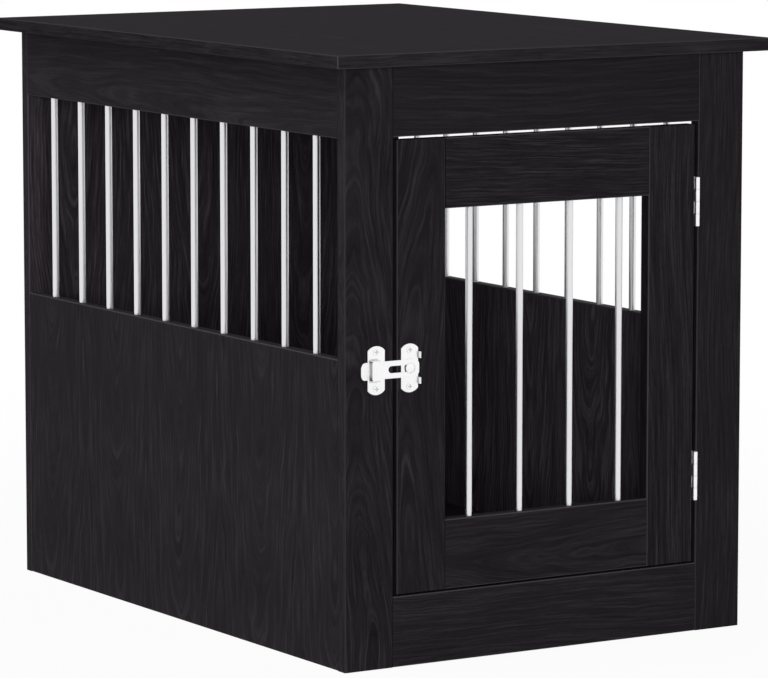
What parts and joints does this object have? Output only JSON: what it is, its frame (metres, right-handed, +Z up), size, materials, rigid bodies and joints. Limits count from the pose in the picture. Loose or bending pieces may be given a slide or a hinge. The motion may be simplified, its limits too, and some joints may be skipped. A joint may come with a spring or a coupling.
{
  "type": "dog crate end table",
  "caption": "Black wood dog crate end table: a flat top over a box with barred side windows and a barred hinged door held shut by a slide bolt.",
  "frame": {"origin": "on the floor, under the centre of the table top", "axes": "+X to the right seen from the door side, +Y towards the back, +Z up"},
  "size_m": [0.575, 0.795, 0.68],
  "materials": {
    "boards": "black satin finish with an open oak-like grain",
    "tongues": "plain unfinished wood, hidden in the joints",
    "bars": "smooth bright light-grey steel rod",
    "fittings": "bright zinc-plated pressed steel"
  },
  "bodies": {
    "cabinet": {"top_board": "boards", "back_panel": "boards", "floor_board": "boards", "left_floor_batten": "boards", "right_floor_batten": "boards", "left_lower_panel": "boards", "right_lower_panel": "boards", "left_top_rail": "boards", "right_top_rail": "boards", "left_side_bars": "bars", "right_side_bars": "bars", "front_left_stile": "boards", "front_right_stile": "boards", "front_top_rail": "boards", "front_bottom_rail": "boards", "frame_tongues": "tongues", "side_tongues": "tongues", "top_tongues": "tongues", "upper_hinge_frame_leaf": "fittings", "lower_hinge_frame_leaf": "fittings", "upper_hinge_pin": "fittings", "lower_hinge_pin": "fittings", "latch_keeper": "fittings", "latch_keeper_screws": "fittings"},
    "door": {"door_left_stile": "boards", "door_right_stile": "boards", "door_top_rail": "boards", "door_bottom_rail": "boards", "door_bars": "bars", "door_tongues": "tongues", "upper_hinge_door_leaf": "fittings", "lower_hinge_door_leaf": "fittings", "latch_door_plate": "fittings", "latch_door_screws": "fittings", "latch_rivet": "fittings"},
    "bolt": {"latch_bolt": "fittings"}
  },
  "joints": [
    {"name": "door_hinge", "type": "hinge", "parent": "cabinet", "child": "door", "pos_m": [0.2015, -0.3785, 0.3325], "axis": [0, 0, 1], "range_deg": [0, 180]},
    {"name": "bolt_slide", "type": "slide", "parent": "door", "child": "bolt", "axis": [1, 0, 0], "range_m": [0, 0.0245]}
  ]
}
